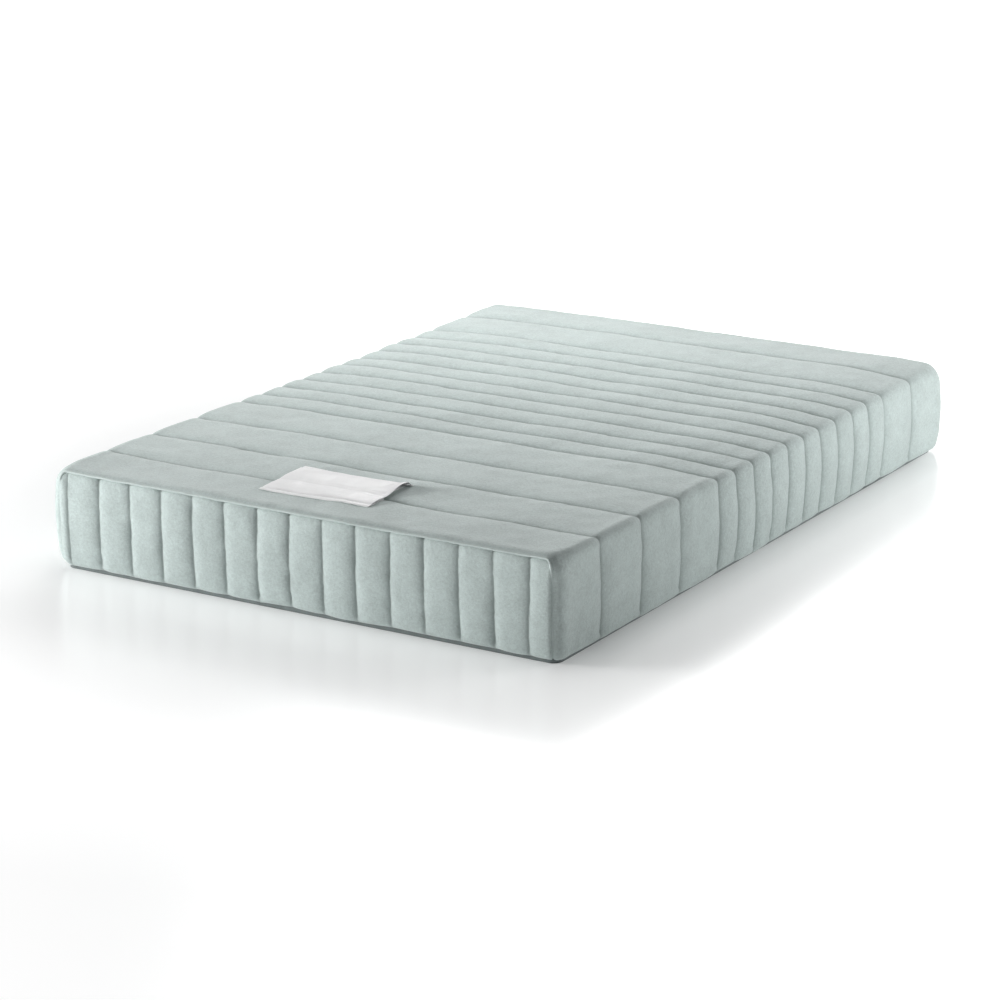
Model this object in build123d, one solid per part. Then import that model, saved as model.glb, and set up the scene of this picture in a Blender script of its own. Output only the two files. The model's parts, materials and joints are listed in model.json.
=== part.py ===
"""Double-size pressure relief mattress: foam layers in a stretch liner, inside a quilted zip-off cover.

Row frame, in millimetres: the origin is at the middle of the underside, +X runs across the width,
+Y runs from the foot end to the head end, and +Z is up. Each export is one separate physical piece.
"""
from build123d import *
import os

# ---------------------------------------------------------------- driving dimensions
WIDTH = 1350.0
LENGTH = 1900.0
HEIGHT = 240.0
HALF_W = WIDTH / 2
HALF_L = LENGTH / 2

CORNER_RADIUS = 36.0        # vertical corners, seen from above
TOP_RADIUS = 34.0           # edge all round the sleeping surface
LIP_RADIUS = 14.5           # the cover rolls under along its lower edge
LIP_Z = 13.0                # lowest point of the quilted cover, above the floor
CLEAR = 0.1                 # gap between two sewn or loose layers

# Each layer of the cover, as how far its outer and inner surface lie inside the outline.
FACE = (0.0, 2.0)
WADDING = (FACE[1] + CLEAR, 11.0)
BACKING = (WADDING[1] + CLEAR, 12.0)
LIP_OPENING = BACKING[1] + CLEAR

# Quilted channels: widths along the length, from the foot end, and the pitch on the end borders.
FOOT_CHANNELS, FOOT_CHANNEL = 4, 178.0
MIDDLE_CHANNELS, MIDDLE_CHANNEL = 10, 86.0
BORDER_SEAMS, BORDER_PITCH, BORDER_FIRST = 15, 88.3, 38.0
GROOVE_WIDTH, GROOVE_DEPTH = 2.0, 1.2
THREAD_RADIUS = 0.5
THREAD_INSET = 0.65         # thread centre below the cover's surface
THREAD_LOW_Z = 30.0
BORDER_THREAD_TOP = 38.0    # where the border's quilting stops, below the sleeping surface

# End borders: the outline of the panel that is sewn in at the foot and at the head.
BORDER_SIDE_INSET = 10.9
BORDER_TOP_INSET = 9.9
BORDER_CORNER = 26.0
BORDER_DEPTH = BACKING[1] + 2 * CLEAR

# Piping in the seam round each end border.
PIPING_INSET = 9.9          # behind the end of the mattress
PIPING_RADIUS = 2.6
PIPING_CORD_RADIUS = 1.7
PIPING_LOW_Z = 24.0

# Underside.
BASE_THICKNESS = 2.0
BAND = (12.3, 13.1)         # the plain strip that joins the quilted cover to the base panel
BAND_TOP_Z = 24.0

# Liner and foam.
LINER = (13.4, 14.2)
LINER_LOW_Z = 2.4
LINER_HIGH_Z = HEIGHT - BACKING[1] - 2 * CLEAR
FOAM_INSET = LINER[1] + 2 * CLEAR
FOAM_LOW_Z = LINER_LOW_Z + 1.0
FOAM_HIGH_Z = LINER_HIGH_Z - 1.0
FOAM_BASE_RADIUS = 20.0
LINER_CAP = 40.0            # length of each sewn-on end of the liner
CORE_TOP_Z = 134.0
TRANSITION_TOP_Z = 174.0
SLOT_WIDTH, SLOT_DEPTH = 6.0, 25.0

# Zip: across the head end and a little way along both sides.
ZIP_RETURN = 450.0
ZIP_START_Y = HALF_L - CORNER_RADIUS - ZIP_RETURN
ZIP_TAPE_END = 8.0          # tape that runs on past the last teeth
ZIP_INSET = (BAND[0] + BAND[1]) / 2
ZIP_Z = 7.0
ROW_GAP = 1.0
ROW_HEIGHT = 2.5
ROW_THICKNESS = 2.4
STOP_LENGTH = 3.0

# Zip slider and its pull. The two sliders meet nose to nose at the middle of the head end.
SLIDER_PARK_X = 12.0
SLIDER_LENGTH, SLIDER_WIDTH, PLATE = 13.0, 9.0, 1.2
PLATE_GAP = ROW_THICKNESS / 2 + 0.3
FLANGE_WIDTH, FLANGE_REACH = 1.15, 0.8
NOSE_LENGTH, NOSE_HEIGHT = 4.0, ROW_GAP - 0.2
BRIDGE_POST_X, BRIDGE_BAR, BRIDGE_WIDTH, BRIDGE_ROOM = 4.0, 1.2, 2.0, 2.2
PULL_LENGTH, PULL_THICKNESS, PULL_WIDTH = 20.0, 1.2, 5.2
PULL_BAR_RADIUS = 0.7
PULL_BAR_HEIGHT = 1.0       # crossbar centre above the slider's outer plate
WINDOW_LENGTH, WINDOW_WIDTH = 5.4, 3.0

# Label, a flat satin sleeve sewn down along its front and back edges.
LABEL_WIDTH, LABEL_DEPTH = 290.0, 190.0
LABEL_X, LABEL_Y = -22.0, -755.0
LABEL_TURN = 1.5
SATIN = 0.6
LABEL_ROOM = 2.4            # the sleeve's inside height
HEM = 12.0
LABEL_THREAD_RADIUS = 0.3
LABEL_THREAD_MARGIN = 6.0

written = []


def save(name, shape):
    """Writes one node."""
    export_step(shape, f"parts/{name}.step")
    written.append(name)


# ---------------------------------------------------------------- shared shapes
def outline(inset):
    """The mattress seen from above, drawn in by inset."""
    return RectangleRounded(WIDTH - 2 * inset, LENGTH - 2 * inset, CORNER_RADIUS - inset)


def block(inset, low, high, base_radius):
    """A solid of the outline with its top and base edges rounded."""
    solid = Pos(0, 0, low) * extrude(outline(inset), high - low)
    solid = fillet(solid.faces().sort_by(Axis.Z)[-1].edges(), TOP_RADIUS - inset)
    return fillet(solid.faces().sort_by(Axis.Z)[0].edges(), base_radius)


def cover_block(inset):
    """The space inside one surface of the quilted cover."""
    return block(inset, LIP_Z + inset, HEIGHT - inset, LIP_RADIUS - inset)


def ring(layer, low, high):
    """A vertical strip that follows the outline all the way round."""
    flat = outline(layer[0]) - outline(layer[1])
    return Pos(0, 0, low) * extrude(flat, high - low)


def beyond(y_from, y_to):
    """A box that holds every point of the mattress between two distances along its length."""
    return Pos(0, (y_from + y_to) / 2, HEIGHT / 2) * Box(2 * WIDTH, y_to - y_from, 2 * HEIGHT)


def border_prism():
    """The space that the foot end border takes out of the cover's layers."""
    half_width = HALF_W - BORDER_SIDE_INSET
    top = HEIGHT - BORDER_TOP_INSET
    flat = Plane.XZ * RectangleRounded(2 * half_width, 2 * top, BORDER_CORNER)
    thick = BORDER_DEPTH + 1
    return Pos(0, -HALF_L + BORDER_DEPTH - thick / 2, 0) * extrude(flat, thick / 2, both=True)


def hoop(side_inset, top_inset, y, low, corner, radius):
    """A round cord that runs up one side, over the top and down the other side."""
    x, z = HALF_W - side_inset, HEIGHT - top_inset
    path = FilletPolyline((-x, y, low), (-x, y, z), (x, y, z), (x, y, low), radius=corner)
    return sweep(Plane(path @ 0, z_dir=path % 0) * Circle(radius), path=path)


def foot_piping(radius):
    return hoop(BORDER_SIDE_INSET, BORDER_TOP_INSET, -HALF_L + PIPING_INSET,
                PIPING_LOW_Z, BORDER_CORNER, radius)


def to_head(shape):
    """The head end's copy of a foot end shape."""
    return mirror(shape, about=Plane.XZ)


# ---------------------------------------------------------------- quilting lines
def top_seams():
    """Places of the quilting lines along the length."""
    places = []
    y = -HALF_L
    for channel in range(FOOT_CHANNELS + MIDDLE_CHANNELS):
        y += FOOT_CHANNEL if channel < FOOT_CHANNELS else MIDDLE_CHANNEL
        places.append(y)
    places.append((y + HALF_L) / 2)
    return places


def border_seams():
    return [-HALF_W + BORDER_FIRST + BORDER_PITCH * i for i in range(BORDER_SEAMS)]


def top_grooves():
    """The channel that each quilting line presses into the face fabric."""
    skin = cover_block(0) - cover_block(GROOVE_DEPTH)
    above = Pos(0, 0, THREAD_LOW_Z + HEIGHT) * Box(2 * WIDTH, 2 * LENGTH, 2 * HEIGHT)
    half = GROOVE_WIDTH / 2
    return [skin & beyond(y - half, y + half) & above for y in top_seams()]


def border_lines(width, depth_from, depth_to):
    """Upright bars on the foot end, one on each quilting line."""
    low, high = THREAD_LOW_Z, HEIGHT - BORDER_THREAD_TOP
    depth = depth_to - depth_from
    middle = -HALF_L + (depth_from + depth_to) / 2
    return [Pos(x, middle, (low + high) / 2) * Box(width, depth, high - low) for x in border_seams()]


def top_thread():
    corner = TOP_RADIUS - THREAD_INSET
    return [hoop(THREAD_INSET, THREAD_INSET, y, THREAD_LOW_Z, corner, THREAD_RADIUS)
            for y in top_seams()]


def border_thread():
    low, high = THREAD_LOW_Z, HEIGHT - BORDER_THREAD_TOP
    return [Pos(x, -HALF_L + THREAD_INSET, (low + high) / 2) * Cylinder(THREAD_RADIUS, high - low)
            for x in border_seams()]


# ---------------------------------------------------------------- cover
def cover_layer(layer):
    """One layer of the cover, open underneath, split into its three sewn panels."""
    opening = extrude(outline(LIP_OPENING), LIP_Z + 4 * LIP_RADIUS)
    shell = cover_block(layer[0]) - cover_block(layer[1]) - opening
    foot = border_prism()
    head = to_head(foot)
    gap = foot_piping(PIPING_RADIUS + CLEAR / 2)
    top = shell - foot - head - gap - to_head(gap)
    return top, (shell & foot) - gap, (shell & head) - to_head(gap)


def make_cover():
    for name, layer in (("face", FACE), ("wadding", WADDING), ("backing", BACKING)):
        top, foot, head = cover_layer(layer)
        if name == "face":
            for groove in top_grooves():
                top -= groove
            for groove in border_lines(GROOVE_WIDTH, -1, GROOVE_DEPTH):
                foot -= groove
                head -= to_head(groove)
        save(f"top_panel_{name}", top)
        save(f"foot_border_{name}", foot)
        save(f"head_border_{name}", head)
    save("top_panel_thread", Compound(children=top_thread()))
    thread = Compound(children=border_thread())
    save("foot_border_thread", thread)
    save("head_border_thread", to_head(thread))


def make_piping():
    cord = foot_piping(PIPING_CORD_RADIUS)
    cover = foot_piping(PIPING_RADIUS) - cord
    save("foot_piping_cover", cover)
    save("foot_piping_cord", cord)
    save("head_piping_cover", to_head(cover))
    save("head_piping_cord", to_head(cord))


def make_underside():
    save("base_panel", extrude(outline(BAND[0]), BASE_THICKNESS))
    band = ring(BAND, BASE_THICKNESS + CLEAR, BAND_TOP_Z)
    save("base_band", band & beyond(-HALF_L, ZIP_START_Y - ZIP_TAPE_END))


# ---------------------------------------------------------------- foam and liner
def make_liner():
    shell = (block(LINER[0], LINER_LOW_Z, LINER_HIGH_Z, FOAM_BASE_RADIUS)
             - block(LINER[1], LINER_LOW_Z + LINER[1] - LINER[0],
                     LINER_HIGH_Z - LINER[1] + LINER[0], FOAM_BASE_RADIUS - LINER[1] + LINER[0]))
    end = HALF_L - LINER_CAP
    save("liner_sleeve", shell & beyond(-end, end))
    save("liner_foot_cap", shell & beyond(-HALF_L, -end))
    save("liner_head_cap", shell & beyond(end, HALF_L))


def slab(low, high):
    return Pos(0, 0, (low + high) / 2) * Box(2 * WIDTH, 2 * LENGTH, high - low)


def make_foam():
    foam = block(FOAM_INSET, FOAM_LOW_Z, FOAM_HIGH_Z, FOAM_BASE_RADIUS - 1)
    core = foam & slab(0, CORE_TOP_Z)
    for y in top_seams()[FOOT_CHANNELS - 1:-1]:
        slot_z = CORE_TOP_Z - SLOT_DEPTH / 2
        core -= Pos(0, y, slot_z) * Box(2 * WIDTH, SLOT_WIDTH, SLOT_DEPTH)
    save("support_foam_core", core)
    save("transition_foam_layer", foam & slab(CORE_TOP_Z + CLEAR, TRANSITION_TOP_Z))
    save("memory_foam_layer", foam & slab(TRANSITION_TOP_Z + CLEAR, HEIGHT))


# ---------------------------------------------------------------- zip
def make_zip():
    gap, height = ROW_GAP / 2, ROW_HEIGHT
    teeth = (ZIP_INSET - ROW_THICKNESS / 2, ZIP_INSET + ROW_THICKNESS / 2)
    zone = beyond(ZIP_START_Y, HALF_L)
    tape_zone = beyond(ZIP_START_Y - ZIP_TAPE_END, HALF_L)
    row_top, row_low = ZIP_Z + gap + height, ZIP_Z - gap - height
    save("zip_teeth_upper", ring(teeth, ZIP_Z + gap, row_top) & zone)
    save("zip_teeth_lower", ring(teeth, row_low, ZIP_Z - gap) & zone)
    save("zip_tape_upper", ring(BAND, row_top, BAND_TOP_Z) & tape_zone)
    save("zip_tape_lower", ring(BAND, BASE_THICKNESS + CLEAR, row_low) & tape_zone)
    stop_zone = beyond(ZIP_START_Y - STOP_LENGTH, ZIP_START_Y)
    save("zip_end_stops", ring(teeth, row_low, row_top) & stop_zone)


def slider(x, nose):
    """A zip slider on the head end. nose is 1 if it points along +X, or -1."""
    body = Pos(0, PLATE_GAP + PLATE / 2, 0) * Box(SLIDER_LENGTH, PLATE, SLIDER_WIDTH)
    body += Pos(0, -PLATE_GAP - PLATE / 2, 0) * Box(SLIDER_LENGTH, PLATE, SLIDER_WIDTH)
    for side_y in (-1, 1):
        for side_z in (-1, 1):
            flange_y = side_y * (PLATE_GAP - FLANGE_REACH / 2)
            flange_z = side_z * (SLIDER_WIDTH - FLANGE_WIDTH) / 2
            body += Pos(0, flange_y, flange_z) * Box(SLIDER_LENGTH, FLANGE_REACH, FLANGE_WIDTH)
    nose_x = nose * (SLIDER_LENGTH - NOSE_LENGTH) / 2
    body += Pos(nose_x, 0, 0) * Box(NOSE_LENGTH, 2 * PLATE_GAP, NOSE_HEIGHT)
    outer = PLATE_GAP + PLATE
    for side_x in (-1, 1):
        post_y = outer + BRIDGE_ROOM / 2
        body += Pos(side_x * BRIDGE_POST_X, post_y, 0) * Box(BRIDGE_BAR, BRIDGE_ROOM, BRIDGE_WIDTH)
    bar_length = 2 * BRIDGE_POST_X + BRIDGE_BAR
    body += Pos(0, outer + BRIDGE_ROOM + 0.5, 0) * Box(bar_length, 1.0, BRIDGE_WIDTH)
    return Pos(x, HALF_L - ZIP_INSET, ZIP_Z) * body


def pull(x, way):
    """A pull tab that lies along the zip. way is 1 if it points along +X, or -1."""
    length = PULL_LENGTH
    plate = Pos(way * length / 2, 0, 0) * Box(length, PULL_THICKNESS, PULL_WIDTH)
    far = plate.edges().filter_by(Axis.Y).sort_by(Axis.X)
    plate = fillet(far[-2:] if way > 0 else far[:2], PULL_WIDTH / 2 - 0.1)
    window = Pos(way * WINDOW_LENGTH / 2, 0, 0) * Box(WINDOW_LENGTH, 2 * PULL_THICKNESS, WINDOW_WIDTH)
    tab = (plate - window) + Cylinder(PULL_BAR_RADIUS, PULL_WIDTH)
    pivot_y = HALF_L - ZIP_INSET + PLATE_GAP + PLATE + PULL_BAR_HEIGHT
    return Pos(x, pivot_y, ZIP_Z) * tab


def make_sliders():
    for name, side in (("left", -1), ("right", 1)):
        save(f"zip_slider_{name}", slider(side * SLIDER_PARK_X, -side))
        save(f"zip_pull_{name}", pull(side * SLIDER_PARK_X, side))


# ---------------------------------------------------------------- label
def make_label():
    place = Pos(LABEL_X, LABEL_Y, HEIGHT + CLEAR) * Rot(0, 0, LABEL_TURN)
    save("label_back", place * Pos(0, 0, SATIN / 2) * Box(LABEL_WIDTH, LABEL_DEPTH, SATIN))
    inside_low = SATIN + CLEAR
    front_top = inside_low + LABEL_ROOM + SATIN
    front = Pos(0, 0, front_top - SATIN / 2) * Box(LABEL_WIDTH, LABEL_DEPTH, SATIN)
    threads = []
    for side in (-1, 1):
        hem_y = side * (LABEL_DEPTH - HEM) / 2
        hem_z = inside_low + LABEL_ROOM / 2
        front += Pos(0, hem_y, hem_z) * Box(LABEL_WIDTH, HEM, LABEL_ROOM)
        stitch = Rot(0, 90, 0) * Cylinder(LABEL_THREAD_RADIUS, LABEL_WIDTH - 2 * LABEL_THREAD_MARGIN)
        threads.append(place * Pos(0, hem_y, front_top + LABEL_THREAD_RADIUS + CLEAR / 2) * stitch)
    save("label_front", place * front)
    save("label_thread", Compound(children=threads))


os.makedirs("parts", exist_ok=True)
make_cover()
make_piping()
make_underside()
make_liner()
make_foam()
make_zip()
make_sliders()
make_label()
print(len(written), "nodes:", " ".join(written))
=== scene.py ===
import json
import math

import bmesh
import bpy
import numpy as np
from mathutils import Matrix, Vector


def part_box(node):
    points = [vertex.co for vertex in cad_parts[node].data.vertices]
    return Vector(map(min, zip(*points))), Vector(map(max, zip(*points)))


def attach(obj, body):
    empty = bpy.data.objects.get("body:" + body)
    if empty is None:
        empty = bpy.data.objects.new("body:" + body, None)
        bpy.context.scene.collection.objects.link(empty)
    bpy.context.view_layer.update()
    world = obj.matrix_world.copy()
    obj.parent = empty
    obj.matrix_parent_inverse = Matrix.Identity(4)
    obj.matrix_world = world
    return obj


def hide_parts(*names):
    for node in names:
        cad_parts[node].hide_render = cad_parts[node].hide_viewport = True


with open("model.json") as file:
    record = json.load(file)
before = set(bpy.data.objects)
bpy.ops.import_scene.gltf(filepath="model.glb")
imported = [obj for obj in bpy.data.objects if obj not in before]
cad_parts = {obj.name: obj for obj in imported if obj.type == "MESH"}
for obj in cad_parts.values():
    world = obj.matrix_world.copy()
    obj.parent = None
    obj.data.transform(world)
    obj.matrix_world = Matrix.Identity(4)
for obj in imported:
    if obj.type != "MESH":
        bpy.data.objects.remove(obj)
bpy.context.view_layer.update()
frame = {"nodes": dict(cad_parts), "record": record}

# ------------------------------------------------------------ sizes, in metres
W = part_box("top_panel_face")[1].x            # half the width
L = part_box("head_border_face")[1].y          # half the length
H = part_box("top_panel_face")[1].z
EDGE = 0.034                                 # rounding of the top edge and the vertical corners
LIP, LIP_Z, OPENING = 0.0145, 0.013, 0.0121  # the cover rolls under by LIP, as far as OPENING
LIP_TURN = math.acos(1 - OPENING / LIP)
QUARTER = math.pi / 2
SIDE = H - EDGE - LIP_Z - LIP                # flat height of a side
PANEL_TURN = math.radians(45.5)              # where the top panel ends, round the edge
BORDER_TURN = QUARTER - PANEL_TURN
CORNER_TURN = math.radians(25)               # where the border ends, round the vertical corners
PANEL_END = L - EDGE + EDGE * PANEL_TURN     # measured along the surface, as are the next two
BORDER_END = W - EDGE + EDGE * BORDER_TURN
HALF_SECTION = W - EDGE + EDGE * QUARTER + SIDE + LIP * LIP_TURN

# Quilting lines of the top panel: wide channels at the foot and the head, narrow ones between
# lines FIRST and LAST, and how deep the cloth is drawn in along each line.
WIDE, NARROW = 0.178, 0.086
FIRST, LAST = 3, 13
SEAMS = -L + np.array([WIDE * i for i in range(1, 5)] + [4 * WIDE + NARROW * i for i in range(1, 11)])
SEAMS = np.append(SEAMS, (SEAMS[-1] + L) / 2)
SEAM_DEPTHS = np.array([0.0040, 0.0056, 0.0056, 0.0062] + [0.0066] * 9 + [0.0062, 0.0056])
SIDE_DEPTH_LEFT, SIDE_DEPTH_RIGHT = 0.0045, 0.0076
# Quilting lines of each end border.
BORDER_SEAMS = -W + 0.038 + 0.0883 * np.arange(15)
BORDER_DEPTH = 0.0060
# Both kinds of line: how far the cloth is drawn in beside a line, and the crease in the line itself.
WIDE_REACH, BORDER_REACH = 0.060, 0.042
CREASE_REACH, CREASE_DEPTH, CREASE_POWER = 0.007, 0.0010, 1.5
SEAM_SHADE_REACH = 0.0032                          # how far the painted shade beside a line reaches
LIP_LOFT, LIP_REACH = 0.0006, 0.03           # the little fullness that is left on the lip
HEAD_SEED = 40                               # added to the foot border's seeds, for the head's

# The layers of a panel. The backing's depths are measured in from the cover's plain surface.
FACE_THICK = 0.0016
WADDING_LEAST = 0.0006
GAP = 0.0002                                 # between two layers
BACKING_OUT, BACKING_IN = 0.0111, 0.0120

# How the cover stands out past its plain shape: its sides at half height, its corners, and how
# much it is tucked in near the floor.
BELLY_FOOT, BELLY_MORE = 0.0042, 0.0030
CORNER_LEFT, CORNER_NEAR, CORNER_FAR = 0.0210, 0.0050, 0.0155
CORNER_REACH, CORNER_LOW, CORNER_HIGH = 0.029, 0.026, 0.034
CORNER_WAY = np.array([1.0, 0.30, 0.0])
TUCK, TUCK_Z, TUCK_REACH = 0.0020, 0.020, 0.022
# How far its top gives way along the sides and at the head, and how far its lower edge hangs.
SIDE_GIVE, FOOT_RISE, HEAD_GIVE = 0.015, 0.002, 0.006
GIVE_REACH, GIVE_POWER, GIVE_SHARED = 0.10, 1.5, 0.014
HANG, LONG_HANG = 0.0050, 0.0088
HANG_Z, HANG_REACH = 0.013, 0.022
RIDGE, RIDGE_REACH = 0.0060, 0.016           # the end seam, where it stands up along the top
SQUARE, SQUARE_LESS, SQUARE_REACH = 0.0080, 0.0035, 0.015    # fullness of the long top edges

STITCH_SIDES = 6
ENDS = ((False, "foot"), (True, "head"))     # whether a piece is turned round to the head


# ------------------------------------------------------------ small tools
def waves(points, size, seed, count=12):
    """Smooth noise of about -1 to 1 at points, made of sine waves about size long."""
    rng = np.random.default_rng(seed)
    total = np.zeros(points.shape[:-1])
    for _ in range(count):
        way = rng.normal(size=points.shape[-1])
        way *= 2 * math.pi / (np.linalg.norm(way) * size * rng.uniform(0.7, 1.4))
        total += np.sin(points @ way + rng.uniform(0, 2 * math.pi))
    return total / math.sqrt(count)


def crowded(low, high, count, pull=0.72):
    """count steps from low to high, closer together near both ends. high is left out."""
    t = np.arange(count) / count
    return low + (high - low) * (t - pull * np.sin(2 * math.pi * t) / (2 * math.pi))


def between(knots, step, least=12):
    """Places along a line that crowd together at each of its knots."""
    parts = [crowded(a, b, 2 * max(least // 2, round((b - a) / step / 2)))
             for a, b in zip(knots[:-1], knots[1:])]
    return np.append(np.concatenate(parts), knots[-1])


def smooth(x, low, high):
    """0 up to low, 1 from high, and a smooth rise between. It falls if high is less than low."""
    t = np.clip((x - low) / (high - low), 0, 1)
    return t * t * (3 - 2 * t)


def finish_mesh(name, points, faces, shade=None):
    """A mesh object in the scene, with outward faces and, on its points, the attribute seam, which holds
    painted seam shade.
    """
    mesh = bpy.data.meshes.new(name)
    mesh.from_pydata(points.reshape(-1, 3).tolist(), [], faces)
    if shade is not None:
        mesh.attributes.new("seam", "FLOAT", "POINT").data.foreach_set("value", shade.ravel())
    work = bmesh.new()
    work.from_mesh(mesh)
    bmesh.ops.recalc_face_normals(work, faces=work.faces)
    work.to_mesh(mesh)
    work.free()
    mesh.shade_smooth()
    piece = bpy.data.objects.new(name, mesh)
    bpy.context.scene.collection.objects.link(piece)
    return piece


def grid_faces(rows, cols, first=0, closed=False):
    """Quads of a grid of points, which is joined to itself across its columns if closed."""
    i = np.arange(rows - 1)[:, None] * cols
    j = np.arange(cols if closed else cols - 1)[None, :]
    k = (j + 1) % cols
    quads = np.stack([i + j, i + k, i + cols + k, i + cols + j], -1).reshape(-1, 4)
    return (quads + first).tolist()


def rim(rows, cols):
    """Indexes of a grid's edge, in order round it."""
    at = np.arange(rows * cols).reshape(rows, cols)
    return np.concatenate([at[0, :-1], at[:-1, -1], at[-1, :0:-1], at[:0:-1, 0]])


def shell(name, outer, inner, shade=None):
    """A closed layer between two grids. The inner one has every second row and column."""
    rows, cols = outer.shape[:2]
    inner = inner[::2, ::2]
    start = rows * cols
    edge, inside = rim(rows, cols), rim(*inner.shape[:2]) + start
    faces = grid_faces(rows, cols) + grid_faces(*inner.shape[:2], start)
    count = len(inside)
    for i in range(count):
        faces.append([int(edge[2 * i]), int(edge[2 * i + 1]), int(edge[(2 * i + 2) % len(edge)]),
                      int(inside[(i + 1) % count]), int(inside[i])])
    points = np.concatenate([outer.reshape(-1, 3), inner.reshape(-1, 3)])
    seam_shades = None
    if shade is not None:
        seam_shades = np.concatenate([shade.ravel(), np.zeros(inner.shape[0] * inner.shape[1])])
    return finish_mesh(name, points, faces, seam_shades)


def frames(path):
    """Two directions across a path at each of its points, which turn with it without twisting."""
    ways = np.gradient(path, axis=0)
    ways /= np.linalg.norm(ways, axis=1)[:, None]
    side = np.cross(ways[0], [0.31, 0.52, 0.79])
    sides = []
    for way in ways:
        side = side - way * (side @ way)
        side /= np.linalg.norm(side)
        sides.append(side)
    sides = np.array(sides)
    return sides, np.cross(ways, sides)


def ring_grid(path, radius, sides):
    """Rings of points round a path."""
    across, up = frames(path)
    turn = np.arange(sides) * 2 * math.pi / sides
    radius = np.broadcast_to(radius, len(path))[:, None, None]
    circle = across[:, None] * np.cos(turn)[None, :, None] + up[:, None] * np.sin(turn)[None, :, None]
    return path[:, None] + circle * radius


def tube(name, path, radius, sides=12, bore=0.0):
    """A cord along path. With a bore it is a sleeve, closed round its two ends."""
    outer = ring_grid(path, radius, sides)
    rows, start = len(path), len(path) * sides
    faces = grid_faces(rows, sides, 0, True)
    last = (rows - 1) * sides
    if not bore:
        faces += [list(range(sides)), list(range(last, last + sides))]
        return finish_mesh(name, outer, faces)
    inner = ring_grid(path, bore, sides)
    faces += grid_faces(rows, sides, start, True)
    for i in range(sides):
        j = (i + 1) % sides
        faces.append([i, j, start + j, start + i])
        faces.append([last + i, last + j, start + last + j, start + last + i])
    return finish_mesh(name, np.concatenate([outer.reshape(-1, 3), inner.reshape(-1, 3)]), faces)


def distances(path):
    """How far along a path each of its points is."""
    return np.concatenate([[0], np.cumsum(np.linalg.norm(np.diff(path, axis=0), axis=1))])


def along(run, values, places):
    """Values at given places along a path, from its values at the distances run."""
    return np.stack([np.interp(places, run, values[:, k]) for k in range(3)], -1)


def stitches(name, lines, pitch=0.0046, length=0.0036, radius=0.00042):
    """Separate stitches along lines, each a list of points and the directions out of the cloth.
    A stitch dips into the cloth at both ends, where it is also thinner."""
    spots = np.array([0.0, 0.14, 0.5, 0.86, 1.0])
    rise = np.array([-0.5, 0.5, 1.0, 0.5, -0.5]) * radius
    girth = np.array([0.35, 0.85, 1.0, 0.85, 0.35]) * radius
    block = len(spots) * STITCH_SIDES
    quads = np.array(grid_faces(len(spots), STITCH_SIDES, 0, True))
    caps = np.array([list(range(STITCH_SIDES)), list(range(block - STITCH_SIDES, block))])
    turn = np.arange(STITCH_SIDES) * 2 * math.pi / STITCH_SIDES
    points, faces, first = [], [], 0
    for path, outward in lines:
        run = distances(path)
        starts = np.arange(pitch, run[-1] - pitch, pitch)
        at = (starts[:, None] + spots[None, :] * length).ravel()
        place = along(run, path, at)
        up = along(run, outward, at)
        up /= np.linalg.norm(up, axis=1)[:, None]
        way = along(run, path, at + 0.0005) - place
        way /= np.maximum(np.linalg.norm(way, axis=1), 1e-9)[:, None]
        across = np.cross(way, up)
        place = place + up * np.tile(rise, len(starts))[:, None]
        circle = across[:, None] * np.cos(turn)[None, :, None] + up[:, None] * np.sin(turn)[None, :, None]
        rings = place[:, None] + circle * np.tile(girth, len(starts))[:, None, None]
        points.append(rings.reshape(-1, 3))
        base = first + np.arange(len(starts))[:, None, None] * block
        faces += (quads[None] + base).reshape(-1, 4).tolist()
        faces += (caps[None] + base).reshape(-1, STITCH_SIDES).tolist()
        first += len(points[-1])
    return finish_mesh(name, np.concatenate(points), faces)


# ------------------------------------------------------------ the cover's surface
def section(u):
    """The cover's cross-section at distances u from the middle of the top, along its surface:
    point and outward direction in x and z, and the direction and radius of its turn at the ends."""
    a, side = np.abs(u), np.where(u < 0, -1.0, 1.0)
    turn = np.clip((a - (W - EDGE)) / EDGE, 0, QUARTER)
    under = np.clip((a - (W - EDGE) - EDGE * QUARTER - SIDE) / LIP, 0, LIP_TURN)
    down = np.clip(a - (W - EDGE) - EDGE * QUARTER, 0, SIDE)
    x = np.minimum(a, W - EDGE) + EDGE * np.sin(turn) - LIP * (1 - np.cos(under))
    z = H - EDGE + EDGE * np.cos(turn) - down - LIP * np.sin(under)
    lip = under > 0
    out_x = np.where(lip, np.cos(under), np.sin(turn))
    out_z = np.where(lip, -np.sin(under), np.cos(turn))
    turn_x = np.where(lip, 1.0, out_x)
    turn_z = np.where(lip, 0.0, out_z)
    radius = EDGE - LIP * (1 - np.cos(under))
    point = np.stack([x * side, z], -1)
    out = np.stack([out_x * side, out_z], -1)
    pivot = np.stack([turn_x * side, turn_z], -1)
    return point, out, pivot, radius


def seam_turns(turn):
    """Along the end seam, the border's turn round the corner and over the edge, for a turn that
    grows from 0 to BORDER_TURN."""
    over = np.arccos(np.clip(math.cos(BORDER_TURN) / np.cos(turn), -1, 1))
    return turn * CORNER_TURN / BORDER_TURN, over


def panel_turn(u):
    """How far the top panel turns over its ends, at distances u from its middle."""
    turn, over = seam_turns(np.linspace(0, BORDER_TURN, 200))
    reach, up = np.cos(over), np.sin(over)
    here = np.clip((np.abs(u) - (W - EDGE)) / EDGE, 0, QUARTER)
    return np.interp(here, np.arctan2(reach * np.sin(turn), up), np.arcsin(reach * np.cos(turn)))


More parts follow.
